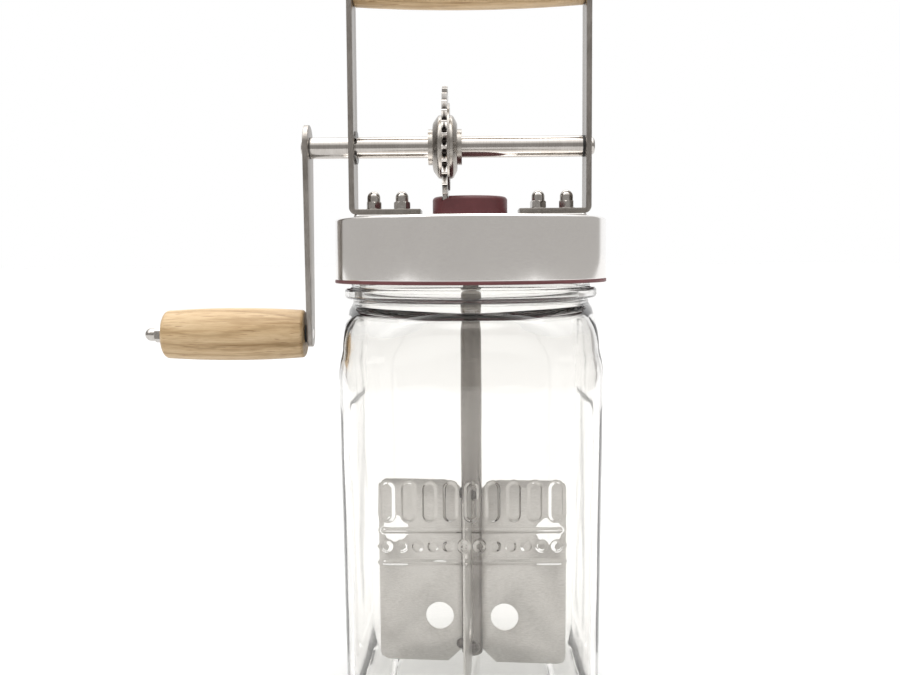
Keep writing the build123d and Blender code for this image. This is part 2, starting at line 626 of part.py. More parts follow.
def crown_pinion():
    """Disc with teeth standing up from its edge, on a hub pinned to the paddle shaft."""
    teeth = Part()
    root_half = CROWN_AT_ROOT * MODULE
    tip_half = CROWN_AT_TIP * MODULE
    tooth = make_face(Polyline(
        (0, -root_half, CROWN_ROOT_Z), (0, -tip_half, CROWN_TIP_Z),
        (0, tip_half, CROWN_TIP_Z), (0, root_half, CROWN_ROOT_Z), close=True,
    ))
    tooth = Pos(CROWN_IN_R - 1, 0, 0) * extrude(tooth, CROWN_OUT_R - CROWN_IN_R + 2, dir=(1, 0, 0))
    for i in range(PINION_TEETH):
        teeth += Rot(0, 0, 180 + (i + 0.5) * 360 / PINION_TEETH) * tooth
    teeth &= tube(CROWN_OUT_R, CROWN_IN_R, CROWN_ROOT_Z - 1, CROWN_TIP_Z + 1)
    blank = post(CROWN_OUT_R, CROWN_ROOT_Z - CROWN_DISC, CROWN_ROOT_Z) + post(PINION_HUB_R, PINION_LOW_Z, PADDLE_TOP_Z)
    return blank + teeth - post(PADDLE_JOURNAL_R, PINION_LOW_Z - 1, PADDLE_TOP_Z + 1) - cross_pin_hole()


def pinion_pin():
    return Pos(0, 0, PINION_PIN_Z) * Rot(90, 0, 0) * Cylinder(PINION_PIN_R, 2 * PINION_HUB_R - 0.6)


def pinion_washer():
    return tube(THRUST_WASHER_R, PADDLE_JOURNAL_R + FIT, BUSH_TOP_Z, PINION_LOW_Z)


def paddle_bush():
    sleeve = post(BUSH_R, BUSH_LOW_Z, COVER_BASE_Z) + post(BUSH_FLANGE_R, COVER_BASE_Z, BUSH_TOP_Z)
    return sleeve - post(PADDLE_JOURNAL_R + FIT, BUSH_LOW_Z - 1, BUSH_TOP_Z + 1)


def paddle_snap_ring():
    snap = tube(SNAP_RING_R, PADDLE_JOURNAL_R - SNAP_GROOVE, SNAP_TOP_Z - SNAP_RING, SNAP_TOP_Z)
    return snap - bar(0, SNAP_RING_R + 1, -1, 1, SNAP_TOP_Z - 2 * SNAP_RING, SNAP_TOP_Z + SNAP_RING)


def blade():
    """One blade in the XZ plane, out along +X from the shaft."""
    root = PADDLE_SHAFT_R - 0.6
    low_cut = PADDLE_SHAFT_R + BLADE_LOW_CUT[0]
    top_cut = PADDLE_SHAFT_R + BLADE_TOP_CUT[0]
    corners = [(root, BLADE_LOW_Z + BLADE_LOW_CUT[1]), (PADDLE_SHAFT_R, BLADE_LOW_Z + BLADE_LOW_CUT[1])]
    corners += [(low_cut, BLADE_LOW_Z), (BLADE_TIP_R, BLADE_LOW_Z), (BLADE_TIP_R, BLADE_TOP_Z), (top_cut, BLADE_TOP_Z)]
    corners += [(PADDLE_SHAFT_R, BLADE_TOP_Z - BLADE_TOP_CUT[1]), (root, BLADE_TOP_Z - BLADE_TOP_CUT[1])]
    radii = [0, 0, 0, BLADE_CORNER, BLADE_CORNER, 0, 0, 0]
    outline = FilletPolyline(*[(x, 0, z) for x, z in corners], radius=radii, close=True)
    sheet = extrude(make_face(outline), BLADE / 2, both=True)
    upper, lower = BLADE_HOLES
    holes = [(BLADE_TIP_R - upper[0], BLADE_TOP_Z - upper[1])]
    holes.append((PADDLE_SHAFT_R + lower[0], BLADE_LOW_Z + lower[1]))
    for x, z in holes:
        sheet -= Pos(x, 0, z) * Rot(90, 0, 0) * Cylinder(BLADE_HOLE_R, 4 * BLADE)
    return sheet - post(PADDLE_SHAFT_R, BLADE_LOW_Z - 1, BLADE_TOP_Z + 1)


def turned_blade(i):
    return Rot(0, 0, PADDLE_TURN + i * 360 / BLADES) * blade()


def blade_welds():
    """Beads in the corners between blades and shaft, at both ends of each blade."""
    low_z = BLADE_LOW_Z + BLADE_LOW_CUT[1] + WELD_R
    high_z = BLADE_TOP_Z - BLADE_TOP_CUT[1] - WELD_R
    bead = Pos(PADDLE_SHAFT_R + 0.3, BLADE / 2 + 0.3, 0) * Sphere(WELD_R)
    bead -= post(PADDLE_SHAFT_R, -5, 5) + bar(0, 20, -5, BLADE / 2, -5, 5)
    places = [(i, z) for i in range(BLADES) for z in (low_z, high_z)]
    return group(Rot(0, 0, PADDLE_TURN + i * 360 / BLADES) * Pos(0, 0, z) * bead for i, z in places)


# ---------------------------------------------------------------- write the nodes

NODES = {
    "glass_jar": glass_jar(),
    "lid_shell": lid_shell(),
    "lid_liner": lid_liner(),
    "lid_gasket": tube(FINISH_R + 1.5, NECK_BORE_R, LIP_Z, LINER_UNDER_Z),
    "gear_cover": gear_cover(),
    "frame_left": frame_left(),
    "frame_right": frame_right(),
    "frame_bolts": frame_bolts(),
    "frame_washers": frame_washers(),
    "frame_cap_nuts": frame_cap_nuts(),
    "top_grip": top_grip(),
    "top_grip_rod": top_grip_rod(),
    "top_grip_nuts": top_grip_nuts(),
    "paddle_bush": paddle_bush(),
    "pinion_washer": pinion_washer(),
    "crank_shaft": crank_shaft(),
    "shaft_end_washer": shaft_end_washer(),
    "shaft_end_screw": shaft_end_screw(),
    "retaining_clip": retaining_clip(),
    "drive_wheel": drive_wheel(),
    "wheel_backing": wheel_backing(),
    "hub_shell_left": hub_shell_left(),
    "hub_shell_right": hub_shell_right(),
    "hub_flange_left": hub_flange_left(),
    "hub_flange_right": hub_flange_right(),
    "wheel_key": on_shaft(key_slot(0)),
    "crank_arm": crank_arm(),
    "arm_washer": arm_washer(),
    "arm_screw": arm_screw(),
    "grip_rod": grip_rod(),
    "grip_inner_washer": grip_inner_washer(),
    "grip_outer_washer": grip_outer_washer(),
    "grip_cap_nut": grip_cap_nut(),
    "crank_grip": crank_grip(),
    "paddle_shaft": paddle_shaft(),
    "crown_pinion": crown_pinion(),
    "pinion_pin": pinion_pin(),
    "paddle_snap_ring": paddle_snap_ring(),
    "blade_welds": blade_welds(),
}
for i, place in enumerate(("right", "rear", "left", "front")):
    NODES[f"paddle_blade_{place}"] = turned_blade(i)

os.makedirs("parts", exist_ok=True)
for name, shape in NODES.items():
    export_step(shape, f"parts/{name}.step")
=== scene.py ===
import math

import bmesh
import bpy
from mathutils import Matrix, Vector


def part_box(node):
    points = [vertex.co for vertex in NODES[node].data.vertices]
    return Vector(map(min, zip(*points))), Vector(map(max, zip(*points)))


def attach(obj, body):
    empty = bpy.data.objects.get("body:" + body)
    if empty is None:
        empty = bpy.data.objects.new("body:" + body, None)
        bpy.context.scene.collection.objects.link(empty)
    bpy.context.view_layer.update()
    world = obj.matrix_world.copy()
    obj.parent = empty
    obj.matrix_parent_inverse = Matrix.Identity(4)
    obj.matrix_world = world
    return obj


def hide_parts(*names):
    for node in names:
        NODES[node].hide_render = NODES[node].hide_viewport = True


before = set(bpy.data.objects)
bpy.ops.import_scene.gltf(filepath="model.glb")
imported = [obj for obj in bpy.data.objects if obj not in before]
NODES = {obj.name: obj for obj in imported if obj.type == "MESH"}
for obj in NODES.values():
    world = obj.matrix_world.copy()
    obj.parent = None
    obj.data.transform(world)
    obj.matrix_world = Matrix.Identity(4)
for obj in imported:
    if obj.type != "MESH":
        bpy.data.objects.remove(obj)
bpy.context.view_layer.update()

MM = 0.001
TAU = 2 * math.pi


# ---------------------------------------------------------------- shapes, in millimetres

def rounded(points, closed=True, steps=6):
    """Outline with its corners rounded. A corner is (a, b) or (a, b, radius)."""
    out = []
    for i, p in enumerate(points):
        if len(p) < 3 or (not closed and i in (0, len(points) - 1)):
            out.append((p[0], p[1]))
            continue
        before, here, after = (Vector(points[j % len(points)][:2]) for j in (i - 1, i, i + 1))
        u, v = (before - here).normalized(), (after - here).normalized()
        half = u.angle(v) / 2
        longest = 0.49 * min((before - here).length, (after - here).length)
        run = min(p[2] / math.tan(half), longest)
        centre = here + (u + v).normalized() * run / math.cos(half)
        first, last = here + u * run - centre, here + v * run - centre
        start = math.atan2(first.y, first.x)
        sweep = math.remainder(math.atan2(last.y, last.x) - start, TAU)
        for k in range(steps + 1):
            angle = start + sweep * k / steps
            x, y = centre.x + first.length * math.cos(angle), centre.y + first.length * math.sin(angle)
            out.append((x, y))
    return out


def skin(rings, closed=False):
    """Verts and faces joining rings of equal length. A ring of one point is a pole."""
    verts, faces, starts = [], [], []
    for ring in rings:
        starts.append(len(verts))
        verts += ring
    pairs = list(zip(range(len(rings) - 1), range(1, len(rings))))
    if closed:
        pairs.append((len(rings) - 1, 0))
    for a, b in pairs:
        n = max(len(rings[a]), len(rings[b]))
        for i in range(n):
            j = (i + 1) % n
            low = [starts[a]] if len(rings[a]) == 1 else [starts[a] + i, starts[a] + j]
            high = [starts[b]] if len(rings[b]) == 1 else [starts[b] + j, starts[b] + i]
            faces.append(low + high)
    return verts, faces


def lathe(section, axis="Z", n=96, at=(0, 0, 0)):
    """Turned shape from (radius, height) points: a solid if they run from axis to axis, or else a ring."""
    solid = section[0][0] < 1e-6 and section[-1][0] < 1e-6
    rings = []
    for r, h in section:
        angles = [0] if r < 1e-6 else [TAU * i / n for i in range(n)]
        if axis == "Z":
            rings.append([(r * math.cos(t), r * math.sin(t), h) for t in angles])
        else:
            rings.append([(h, r * math.cos(t), r * math.sin(t)) for t in angles])
    verts, faces = skin(rings, closed=not solid)
    return [tuple(c + o for c, o in zip(v, at)) for v in verts], faces


def circle(x, y, r, n=48):
    return [(x + r * math.cos(TAU * i / n), y + r * math.sin(TAU * i / n)) for i in range(n)]


def plate(outlines, thickness, bevel=0.3, place=Matrix.Identity(4)):
    """Flat plate in XY, from z = 0 up, with holes and softened edges, moved to its place."""
    curve = bpy.data.curves.new("plate", "CURVE")
    curve.dimensions = "2D"
    curve.fill_mode = "BOTH"
    curve.extrude = thickness / 2 - bevel
    curve.bevel_depth = bevel
    curve.bevel_resolution = 1
    curve.offset = -bevel
    for outline in outlines:
        spline = curve.splines.new("POLY")
        spline.points.add(len(outline) - 1)
        for point, (x, y) in zip(spline.points, outline):
            point.co = (x, y, 0, 1)
        spline.use_cyclic_u = True
    holder = bpy.data.objects.new("plate", curve)
    bpy.context.scene.collection.objects.link(holder)
    bpy.context.view_layer.update()
    evaluated = holder.evaluated_get(bpy.context.evaluated_depsgraph_get())
    mesh = bpy.data.meshes.new_from_object(evaluated)
    bm = bmesh.new()
    bm.from_mesh(mesh)
    bmesh.ops.remove_doubles(bm, verts=bm.verts, dist=1e-4)
    bmesh.ops.translate(bm, verts=bm.verts, vec=(0, 0, thickness / 2))
    bmesh.ops.transform(bm, matrix=place, verts=bm.verts)
    bm.verts.ensure_lookup_table()
    found = [tuple(v.co) for v in bm.verts], [[v.index for v in f.verts] for f in bm.faces]
    bm.free()
    bpy.data.objects.remove(holder)
    bpy.data.curves.remove(curve)
    bpy.data.meshes.remove(mesh)
    return found


def joined(*shapes):
    verts, faces = [], []
    for v, f in shapes:
        start = len(verts)
        verts += v
        faces += [[start + i for i in face] for face in f]
    return verts, faces


def moved(shape, matrix):
    return [tuple(matrix @ Vector(v)) for v in shape[0]], shape[1]


def piece(name, shape, material, body, nodes, sharp=32):
    """One object of the visual model, given in millimetres, that stands for these CAD nodes."""
    mesh = bpy.data.meshes.new(name)
    mesh.from_pydata([tuple(c * MM for c in v) for v in shape[0]], [], shape[1])
    bm = bmesh.new()
    bm.from_mesh(mesh)
    bmesh.ops.recalc_face_normals(bm, faces=bm.faces)
    bm.to_mesh(mesh)
    bm.free()
    mesh.shade_smooth()
    mesh.set_sharp_from_angle(angle=math.radians(sharp))
    mesh.materials.append(material)
    obj = bpy.data.objects.new(name, mesh)
    bpy.context.scene.collection.objects.link(obj)
    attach(obj, body)
    if nodes:
        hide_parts(*nodes)
    return obj


# ---------------------------------------------------------------- materials

def new_material(name):
    material = bpy.data.materials.new(name)
    material.use_nodes = True
    tree = material.node_tree
    tree.nodes.clear()
    output = tree.nodes.new("ShaderNodeOutputMaterial")
    shader = tree.nodes.new("ShaderNodeBsdfPrincipled")
    tree.links.new(shader.outputs[0], output.inputs["Surface"])
    return material, tree, shader


def noise(tree, scale, stretch=(1, 1, 1), detail=4, roughness=0.6, distortion=0.0, shift=(0, 0, 0)):
    """Noise in the piece's own coordinates, stretched along chosen axes. Returns its Fac output."""
    coords = tree.nodes.new("ShaderNodeTexCoord")
    mapping = tree.nodes.new("ShaderNodeMapping")
    mapping.inputs["Scale"].default_value = stretch
    mapping.inputs["Location"].default_value = shift
    tree.links.new(coords.outputs["Object"], mapping.inputs["Vector"])
    texture = tree.nodes.new("ShaderNodeTexNoise")
    texture.inputs["Scale"].default_value = scale
    texture.inputs["Detail"].default_value = detail
    texture.inputs["Roughness"].default_value = roughness
    texture.inputs["Distortion"].default_value = distortion
    tree.links.new(mapping.outputs[0], texture.inputs["Vector"])
    return texture.outputs["Fac"]


def ramp(tree, source, stops):
    node = tree.nodes.new("ShaderNodeValToRGB")
    node.color_ramp.interpolation = "EASE"
    elements = node.color_ramp.elements
    while len(elements) < len(stops):
        elements.new(0.5)
    for element, (place, colour) in zip(elements, stops):
        element.position = place
        element.color = (*colour, 1)
    tree.links.new(source, node.inputs["Fac"])
    return node.outputs["Color"]


def spread(tree, source, low, high, start=0.3, end=0.7):
    """Maps the middle of a noise to a range of values."""
    node = tree.nodes.new("ShaderNodeMapRange")
    for key, value in (("From Min", start), ("From Max", end), ("To Min", low), ("To Max", high)):
        node.inputs[key].default_value = value
    tree.links.new(source, node.inputs["Value"])
    return node.outputs["Result"]


def maths(tree, operation, *values):
    node = tree.nodes.new("ShaderNodeMath")
    node.operation = operation
    for socket, value in zip(node.inputs, values):
        if isinstance(value, (int, float)):
            socket.default_value = value
        else:
            tree.links.new(value, socket)
    return node.outputs[0]


def blend_colours(tree, kind, share, first, second):
    node = tree.nodes.new("ShaderNodeMix")
    node.data_type = "RGBA"
    node.blend_type = kind
    sockets = {s.identifier: s for s in node.inputs}
    for key, value in (("Factor_Float", share), ("A_Color", first), ("B_Color", second)):
        if isinstance(value, (int, float)):
            sockets[key].default_value = value
        elif isinstance(value, tuple):
            sockets[key].default_value = (*value, 1)
        else:
            tree.links.new(value, sockets[key])
    return next(s for s in node.outputs if s.identifier == "Result_Color")


def bump(tree, shader, height, strength, distance):
    node = tree.nodes.new("ShaderNodeBump")
    node.inputs["Strength"].default_value = strength
    node.inputs["Distance"].default_value = distance
    tree.links.new(height, node.inputs["Height"])
    previous = shader.inputs["Normal"].links
    if previous:
        tree.links.new(previous[0].from_socket, node.inputs["Normal"])
    tree.links.new(node.outputs[0], shader.inputs["Normal"])


def metal(name, dark, light, rough, grain=(1, 1, 1), grain_scale=900, line_depth=0.12, blotch=22):
    """Bare steel: fine grain lines along one axis, cloudy handling marks, and roughness that follows both."""
    material, tree, shader = new_material(name)
    shader.inputs["Metallic"].default_value = 1.0
    lines = noise(tree, grain_scale, grain, detail=3, roughness=0.55)
    clouds = noise(tree, blotch, detail=5, roughness=0.62, distortion=0.6)
    tone = maths(tree, "ADD", maths(tree, "MULTIPLY", lines, 0.45), maths(tree, "MULTIPLY", clouds, 0.55))
    tree.links.new(ramp(tree, tone, [(0.34, dark), (0.64, light)]), shader.inputs["Base Color"])
    tree.links.new(spread(tree, tone, rough[0], rough[1]), shader.inputs["Roughness"])
    bump(tree, shader, lines, line_depth, 0.0002)
    bump(tree, shader, clouds, 0.05, 0.0006)
    return material


# Colour of the painted shade at the roots of the wheel's teeth.
TOOTH_GAP_SHADE = (0.035, 0.03, 0.026)


def paint_gap_shade(material, radius, x, z):
    """Painted shade between a wheel's teeth: its rim is painted darker towards the roots, where shade falls,
    and its flat sides stay bright.
    """
    tree = material.node_tree
    shader = next(n for n in tree.nodes if n.type == "BSDF_PRINCIPLED")
    coords = tree.nodes.new("ShaderNodeTexCoord")
    place = tree.nodes.new("ShaderNodeMapping")
    place.inputs["Location"].default_value = (0, 0, -z)
    place.inputs["Scale"].default_value = (0.0, 1, 1)
    tree.links.new(coords.outputs["Object"], place.inputs["Vector"])
    distance = tree.nodes.new("ShaderNodeVectorMath")
    distance.operation = "LENGTH"
    tree.links.new(place.outputs[0], distance.inputs[0])
    gap = spread(tree, distance.outputs["Value"], 1, 0, radius, radius + 0.0032)
    across = tree.nodes.new("ShaderNodeSeparateXYZ")
    tree.links.new(coords.outputs["Object"], across.inputs[0])
    off_middle = maths(tree, "ABSOLUTE", maths(tree, "SUBTRACT", across.outputs["X"], x))
    rim = spread(tree, off_middle, 1, 0, 0.00143, 0.00149)
    unshaded = shader.inputs["Base Color"].links[0].from_socket
    share = maths(tree, "MULTIPLY", gap, rim)
    # Mixes the painted shade colour into the base colour towards the tooth roots.
    tree.links.new(blend_colours(tree, "MIX", share, unshaded, TOOTH_GAP_SHADE), shader.inputs["Base Color"])


def plastic(name, dark, light, rough, pebble=2400, depth=0.06):
    """Moulded plastic: even colour with faint flow clouds, a fine pebble and scuffed patches."""
    material, tree, shader = new_material(name)
    clouds = noise(tree, 35, detail=5, distortion=0.4)
    pebbles = noise(tree, pebble, detail=2)
    tree.links.new(ramp(tree, clouds, [(0.3, dark), (0.7, light)]), shader.inputs["Base Color"])
    tree.links.new(spread(tree, clouds, rough[0], rough[1]), shader.inputs["Roughness"])
    bump(tree, shader, pebbles, depth, 0.0002)
    return material


def wood(name, across, seed):
    """Turned hardwood with its grain along X: growth bands, fibres, short dark pores and a satin finish."""
    material, tree, shader = new_material(name)
    coords = tree.nodes.new("ShaderNodeTexCoord")
    place = tree.nodes.new("ShaderNodeMapping")
    place.inputs["Location"].default_value = across
    place.inputs["Scale"].default_value = (0.0, 1, 1)
    tree.links.new(coords.outputs["Object"], place.inputs["Vector"])
    distance = tree.nodes.new("ShaderNodeVectorMath")
    distance.operation = "LENGTH"
    tree.links.new(place.outputs[0], distance.inputs[0])
    wander = noise(tree, 7, (1.2, 5, 5), detail=4, distortion=0.5, shift=seed)
    radius = maths(tree, "ADD", distance.outputs["Value"], maths(tree, "MULTIPLY", wander, 0.016))
    rings = maths(tree, "PINGPONG", maths(tree, "MULTIPLY", radius, 330.0), 1.0)
    broad = noise(tree, 9, (1.5, 22, 22), detail=5, roughness=0.55, distortion=0.3, shift=seed)
    fibres = noise(tree, 40, (1.6, 42, 42), detail=5, roughness=0.7, shift=seed)
    pores = noise(tree, 60, (1.0, 26, 26), detail=2, roughness=0.5, shift=seed)
    bands = ramp(tree, rings, [
        (0.0, (0.44, 0.315, 0.175)), (0.35, (0.56, 0.415, 0.25)), (1.0, (0.62, 0.475, 0.30)),
    ])
    tint = ramp(tree, broad, [(0.32, (0.68, 0.61, 0.50)), (0.5, (0.93, 0.90, 0.85)), (0.68, (1.0, 1.0, 1.0))])
    colour = blend_colours(tree, "MULTIPLY", 1.0, bands, tint)
    fine = ramp(tree, fibres, [(0.35, (0.80, 0.74, 0.66)), (0.6, (1.0, 1.0, 1.0))])
    colour = blend_colours(tree, "MULTIPLY", 0.8, colour, fine)
    flecks = ramp(tree, pores, [(0.30, (0.42, 0.30, 0.20)), (0.38, (1.0, 1.0, 1.0))])
    colour = blend_colours(tree, "MULTIPLY", 0.75, colour, flecks)
    tree.links.new(colour, shader.inputs["Base Color"])
    tree.links.new(spread(tree, fibres, 0.55, 0.38), shader.inputs["Roughness"])
    shader.inputs["Specular IOR Level"].default_value = 0.35
    bump(tree, shader, fibres, 0.18, 0.0003)
    bump(tree, shader, pores, 0.25, 0.0003)
    return material


def glass(name):
    """Clear moulded glass with faint waves; lamps reach what is inside it."""
    material, tree, shader = new_material(name)
    shader.inputs["Base Color"].default_value = (0.93, 0.925, 0.91, 1)
    shader.inputs["Roughness"].default_value = 0.0
    shader.inputs["IOR"].default_value = 1.5
    shader.inputs["Transmission Weight"].default_value = 1.0
    waves = noise(tree, 16, (1, 1, 0.6), detail=2, roughness=0.4, distortion=0.2)
    bump(tree, shader, waves, 0.25, 0.004)
    clear = tree.nodes.new("ShaderNodeBsdfTransparent")
    clear.inputs["Color"].default_value = (0.96, 0.97, 0.96, 1)
    path = tree.nodes.new("ShaderNodeLightPath")
    mix = tree.nodes.new("ShaderNodeMixShader")
    tree.links.new(path.outputs["Is Shadow Ray"], mix.inputs["Fac"])
    tree.links.new(shader.outputs[0], mix.inputs[1])
    tree.links.new(clear.outputs[0], mix.inputs[2])
    output = next(n for n in tree.nodes if n.type == "OUTPUT_MATERIAL")
    tree.links.new(mix.outputs[0], output.inputs["Surface"])
    return material


# Steels: dark and light colour, range of roughness, the grain's stretch, scale and depth, the clouds' scale
GLASS = glass("clear_glass")
SHELL_STEEL = metal(
    "shell_steel", (0.86, 0.84, 0.82), (0.92, 0.90, 0.88), (0.09, 0.15), (1, 1, 14), 420, 0.015, 12)
STRAP_STEEL = metal(
    "strap_steel", (0.23, 0.21, 0.19), (0.36, 0.335, 0.31), (0.26, 0.38), (14, 14, 1), 300, 0.10, 30)
SHAFT_STEEL = metal(
    "shaft_steel", (0.38, 0.355, 0.33), (0.50, 0.475, 0.45), (0.10, 0.16), (20, 1, 1), 260, 0.06, 40)
GEAR_STEEL = metal(
    "gear_steel", (0.30, 0.28, 0.255), (0.44, 0.415, 0.385), (0.24, 0.34), (1, 1, 1), 300, 0.03, 30)
BLADE_STEEL = metal(
    "blade_steel", (0.50, 0.48, 0.455), (0.66, 0.64, 0.615), (0.28, 0.42), (3, 3, 14), 160, 0.10, 20)
PADDLE_STEEL = metal(
    "paddle_shaft_steel", (0.17, 0.155, 0.14), (0.30, 0.28, 0.26), (0.14, 0.24), (1, 1, 20), 200, 0.08, 24)
WELD_STEEL = metal(
    "weld_steel", (0.07, 0.06, 0.055), (0.20, 0.18, 0.165), (0.34, 0.5), (1, 1, 1), 900, 0.5, 200)
BRIGHT_STEEL = metal(
    "bright_steel", (0.42, 0.395, 0.37), (0.55, 0.53, 0.505), (0.10, 0.16), (1, 1, 1), 900, 0.03, 30)
SPRING_STEEL = metal(
    "spring_steel", (0.10, 0.098, 0.095), (0.20, 0.195, 0.19), (0.30, 0.42), (1, 1, 1), 900, 0.08, 60)
MAROON = plastic("maroon_plastic", (0.090, 0.020, 0.023), (0.130, 0.033, 0.037), (0.36, 0.48))
BLACK = plastic("black_plastic", (0.012, 0.012, 0.012), (0.022, 0.022, 0.022), (0.45, 0.6))
NYLON = plastic("bearing_plastic", (0.66, 0.64, 0.58), (0.76, 0.74, 0.69), (0.40, 0.52))
RUBBER = plastic("gasket_rubber", (0.58, 0.57, 0.53), (0.66, 0.65, 0.61), (0.60, 0.75))
CRANK_WOOD = wood("crank_grip_wood", (0, 0.030, -0.232), (0.3, 0.1, 0.7))
TOP_WOOD = wood("top_grip_wood", (0, -0.026, -0.385), (1.7, 0.4, 0.2))


# ---------------------------------------------------------------- places read from the CAD

def box_mm(node):
    low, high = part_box(node)
    return low / MM, high / MM


NECK_RISE = 41.7
LIP_Z = box_mm("glass_jar")[1].z
SHOULDER_TOP = LIP_Z - NECK_RISE
SHELL_LOW, SHELL_HIGH = box_mm("lid_shell")
STRAP_LOW, STRAP_HIGH = box_mm("frame_right")
SHAFT_LOW, SHAFT_HIGH = box_mm("crank_shaft")
SHAFT_Z = (SHAFT_LOW.z + SHAFT_HIGH.z) / 2
ARM_LOW, ARM_HIGH = box_mm("crank_arm")
GRIP_LOW, GRIP_HIGH = box_mm("crank_grip")
CRANK_GRIP_Z = (GRIP_LOW.z + GRIP_HIGH.z) / 2
TOP_LOW, TOP_HIGH = box_mm("top_grip")
TOP_GRIP_Z = (TOP_LOW.z + TOP_HIGH.z) / 2
WHEEL_LOW, WHEEL_HIGH = box_mm("drive_wheel")
BLADE_LOW, BLADE_HIGH = box_mm("paddle_blade_right")
SEAT_Z = STRAP_LOW.z
FRAME_OUT = STRAP_HIGH.x


# ---------------------------------------------------------------- the jar

JAR_HALF = 70.3         # half the width across the flats, at FULL_WIDTH_Z
JAR_CORNER = 30
FULL_WIDTH_Z = 195.3
DRAFT = 0.012           # the sides lean in by this much per millimetre going down
JAR_WALL = 4
HEEL_R = 14
INNER_HEEL_R = 12
JAR_FLOOR_Z = 8.0
SHOULDER_R = 29         # rounding over the jar's corners
DOME_CENTRE_R = 58
NECK_R = 66.5
NECK_INSIDE_R = 62.0
THREAD_ROOT_R = 67.5
THREAD_PROUD = 2.6
THREAD_LOW = 241.5
THREAD_PITCH = 9.5
THREAD_TURNS = 1.55
BAR_HEIGHTS = (94.0, 110.7)     # ornament: two bars, with flutes above them and beads between them
BAR_REACH = 45.1
FLUTE_STEP = 10.7
FLUTE_FIRST = -42.8
FLUTE_LAST = 8
BEAD_FIRST = -43.5
BEAD_STEP = 87 / 11
BEAD_LAST = 11


def square_radius(angle, half, corner):
    """Polar radius of a rounded square."""
    c, s = sorted((abs(math.cos(angle)), abs(math.sin(angle))), reverse=True)
    inner = half - corner
    if half * s / c <= inner:
        return half / c
    b = inner * (c + s)
    return b + math.sqrt(max(b * b - 2 * inner * inner + corner * corner, 0))


def ease(x):
    x = min(max(x, 0.0), 1.0)
    return x * x * (3 - 2 * x)


def capsule(x, y, ax, ay, bx, by, r):
    """Distance outside a round-ended bar, negative inside."""
    dx, dy = bx - ax, by - ay
    t = min(max(((x - ax) * dx + (y - ay) * dy) / max(dx * dx + dy * dy, 1e-9), 0), 1)
    return math.hypot(x - ax - t * dx, y - ay - t * dy) - r


def ornament(x, z):
    """Height, 0 to 1, of the raised marks on the jar's front."""
    if abs(x) > 48 or not 91 < z < 138.5:
        return 0.0
    found = [capsule(x, z, -BAR_REACH, h, BAR_REACH, h, 0.9) for h in BAR_HEIGHTS]
    flute = round((x - FLUTE_FIRST) / FLUTE_STEP)
    if 0 <= flute <= FLUTE_LAST:
        cx = FLUTE_FIRST + flute * FLUTE_STEP
        found.append(capsule(x, z, cx, 118.8, cx, 132.4, 3.2))
    bead = round((x - BEAD_FIRST) / BEAD_STEP)
    if 0 <= bead <= BEAD_LAST:
        cx = BEAD_FIRST + bead * BEAD_STEP
        cz = sum(BAR_HEIGHTS) / 2
        found.append(capsule(x, z, cx, cz, cx, cz, 2.5))
    return ease(0.5 - min(found) / 1.3)


def side_panel(y, z):
    """Height, 0 to 1, of the raised panel on each side of the jar."""
    dy, dz = abs(y) - 32, abs(z - 102.8) - 58.8
    outside = math.hypot(max(dy, 0), max(dz, 0)) + min(max(dy, dz), 0) - 10
    return ease(0.5 - outside / 5.0)


def half_at(z):
    return JAR_HALF - DRAFT * (FULL_WIDTH_Z - z)


def corner_at(z):
    return JAR_CORNER - DRAFT * (FULL_WIDTH_Z - z)


def jar_angles():
    """Directions round the jar, closer together at the ornament and at the side panels' edges."""
    angles = {round(i * 2.0, 3) for i in range(180)}
    angles |= {round(math.degrees(math.atan2(-70, -48 + 0.6 * i)) % 360, 3) for i in range(161)}
    for base in (0, 180):
        for y in [v * sign for sign in (-1, 1) for v in (40, 40.6, 41.1, 41.5, 42, 42.5, 43, 43.6)]:
            angles.add(round((base + math.degrees(math.atan2(y, 70))) % 360, 3))
    return [math.radians(a) for a in sorted(angles)]


def outside_wall(inset):
    """Radius of the jar's outer side with its panels and ornament, drawn in by an inset."""
    def radius(t, z):
        r = square_radius(t, half_at(z) - inset, max(corner_at(z) - inset, 2))
        x, y = r * math.cos(t), r * math.sin(t)
        if y < -60 and abs(x) < 50:
            r += ornament(x, z)
        if abs(x) > 60 and abs(y) < 46:
            r += 0.5 * side_panel(y, z)
        return r
    return radius


def inside_wall(inset):
    depth = JAR_WALL + inset
    return lambda t, z: square_radius(t, half_at(z) - depth, max(corner_at(z) - depth, 2))


def under_floor(inset):
    return lambda t, z: square_radius(t, half_at(0) - inset, max(corner_at(0) - inset, 3.0))


def shoulder(inset, neck):
    """Flats that run up to the neck, with the corners rounded over into a dome, all softly blended."""
    def radius(t, z):
        flat = square_radius(t, half_at(z) - inset, corner_at(z) - inset)
        height = z - SHOULDER_TOP + SHOULDER_R
        dome = DOME_CENTRE_R + math.sqrt(max((SHOULDER_R - inset) ** 2 - height ** 2, 0))
        soft = 8 * ease((z - 188) / 14)
        body = (flat + dome - math.hypot(flat - dome, soft)) / 2
        soft = 4 * ease((z - 216 + inset) / 6)
        return (body + neck + math.hypot(body - neck, soft)) / 2
    return radius


def thread(t, z):
    turns = (t / TAU + 0.55) % 1.0
    rise = 0.0
    for lap in (0, 1):
        along = turns + lap
        if along <= THREAD_TURNS:
            centre = THREAD_LOW + THREAD_PITCH * along
            fade = ease(along / 0.08) * ease((THREAD_TURNS - along) / 0.08)
            rise = max(rise, fade * ease(1.25 - abs(z - centre) / 2.0))
    return THREAD_ROOT_R + THREAD_PROUD * rise


